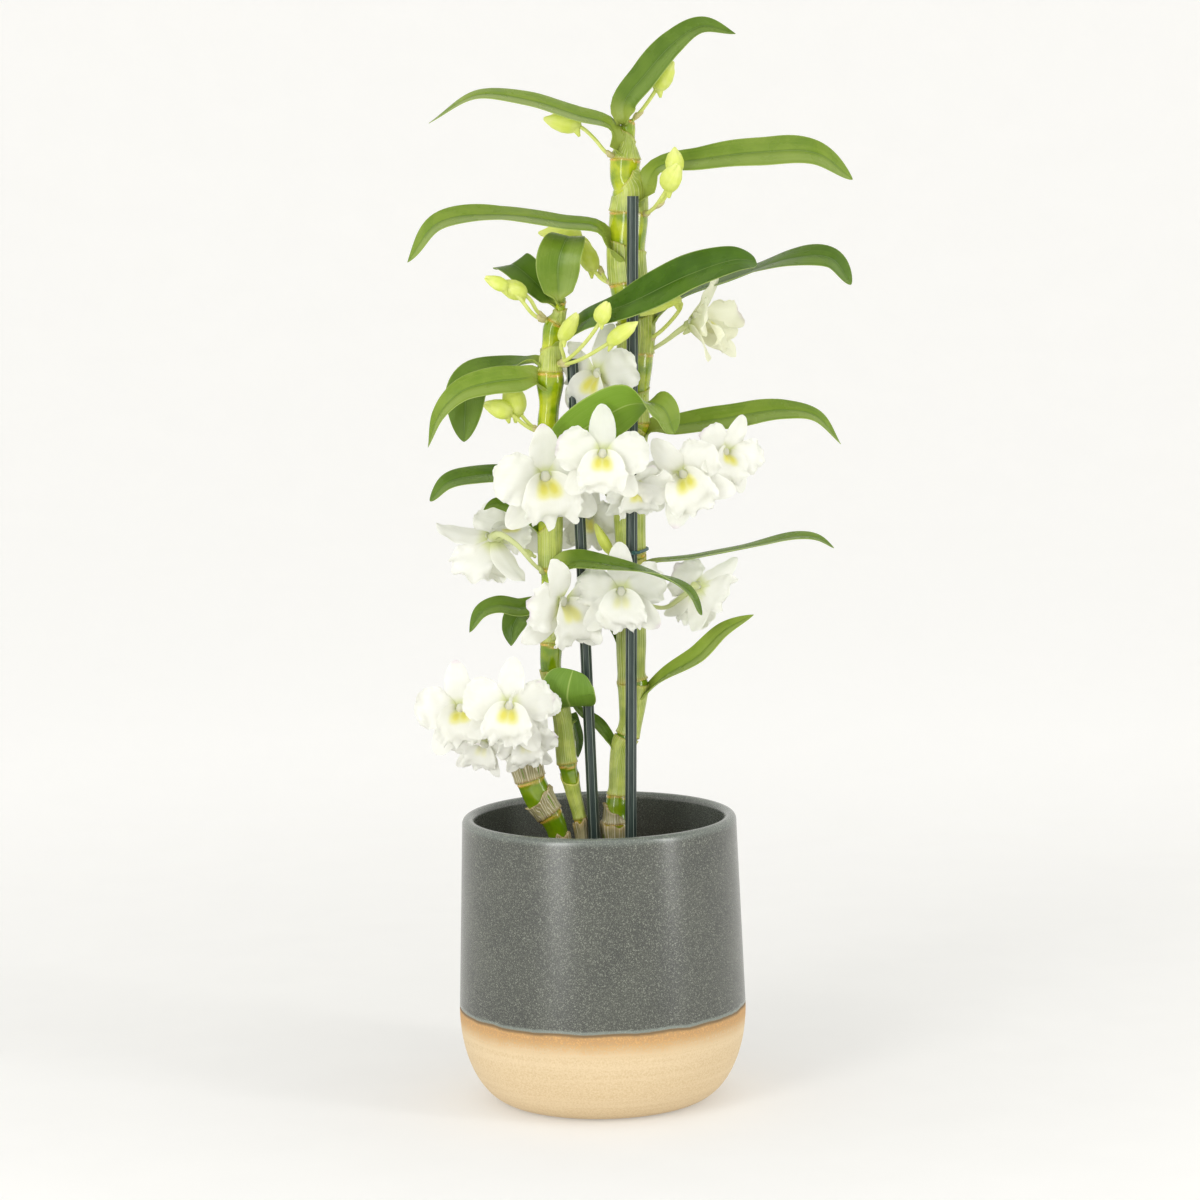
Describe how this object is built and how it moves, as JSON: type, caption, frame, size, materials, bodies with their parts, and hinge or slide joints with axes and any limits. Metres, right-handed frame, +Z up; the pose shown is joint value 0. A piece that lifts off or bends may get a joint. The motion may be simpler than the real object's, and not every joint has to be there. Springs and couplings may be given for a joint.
{
  "type": "potted orchid",
  "caption": "Dendrobium orchid with leafy canes, white blooms and buds, tied to stakes and standing in bark inside a round glazed stoneware pot.",
  "frame": {"origin": "centre of the cover pot's flat underside", "axes": "+Z up through the pot's axis; -Y is the front, where most blooms face; +X is to the right seen from the front"},
  "size_m": [0.2195, 0.143, 0.5335],
  "materials": {
    "stoneware": "satin speckled dark grey-green glaze over raw sandy clay",
    "nursery_plastic": "matte black thin plastic",
    "bark": "rough damp bark chips",
    "stake_plastic": "semi-gloss dark green ribbed plastic",
    "tie_wire": "plastic-coated wire",
    "cane": "glossy green joints with dry papery sheaths",
    "leaf": "smooth satin leaf with one midrib",
    "petal": "soft white petal with a yellow-green throat",
    "bud": "smooth pale green bud"
  },
  "bodies": {
    "root": {"cover_pot": "stoneware", "nursery_pot": "nursery_plastic", "bark_medium": "bark", "cane_tall": "cane", "cane_middle": "cane", "cane_short": "cane", "stake_right": "stake_plastic", "stake_left": "stake_plastic", "tie_right": "tie_wire", "tie_left": "tie_wire", "leaf_top": "leaf", "leaf_upper_left": "leaf", "leaf_right_high": "leaf", "leaf_left_high": "leaf", "leaf_long_front": "leaf", "leaf_right_mid": "leaf", "leaf_crown": "leaf", "leaf_crown_left": "leaf", "leaf_left_front": "leaf", "leaf_left_back": "leaf", "leaf_left_short": "leaf", "leaf_left_small": "leaf", "leaf_centre": "leaf", "leaf_right_low": "leaf", "leaf_right_thin": "leaf", "leaf_centre_low": "leaf", "leaf_right_base": "leaf", "leaf_left_low": "leaf", "leaf_left_folded": "leaf", "leaf_round": "leaf", "leaf_cross": "leaf", "leaf_curled": "leaf", "leaf_back_high": "leaf", "leaf_back_low": "leaf", "bloom_high": "petal", "bloom_right_high": "petal", "bloom_centre_left": "petal", "bloom_centre": "petal", "blooms_centre_right": "petal", "blooms_left": "petal", "bloom_back": "petal", "blooms_low": "petal", "bloom_low_right": "petal", "blooms_base_left": "petal", "buds_top": "bud", "buds_upper_left": "bud", "buds_right_high": "bud", "buds_left_high": "bud", "buds_crown_left": "bud", "buds_centre": "bud", "buds_mid_left": "bud", "bud_back": "bud", "bud_right_high": "bud"}
  },
  "joints": []
}
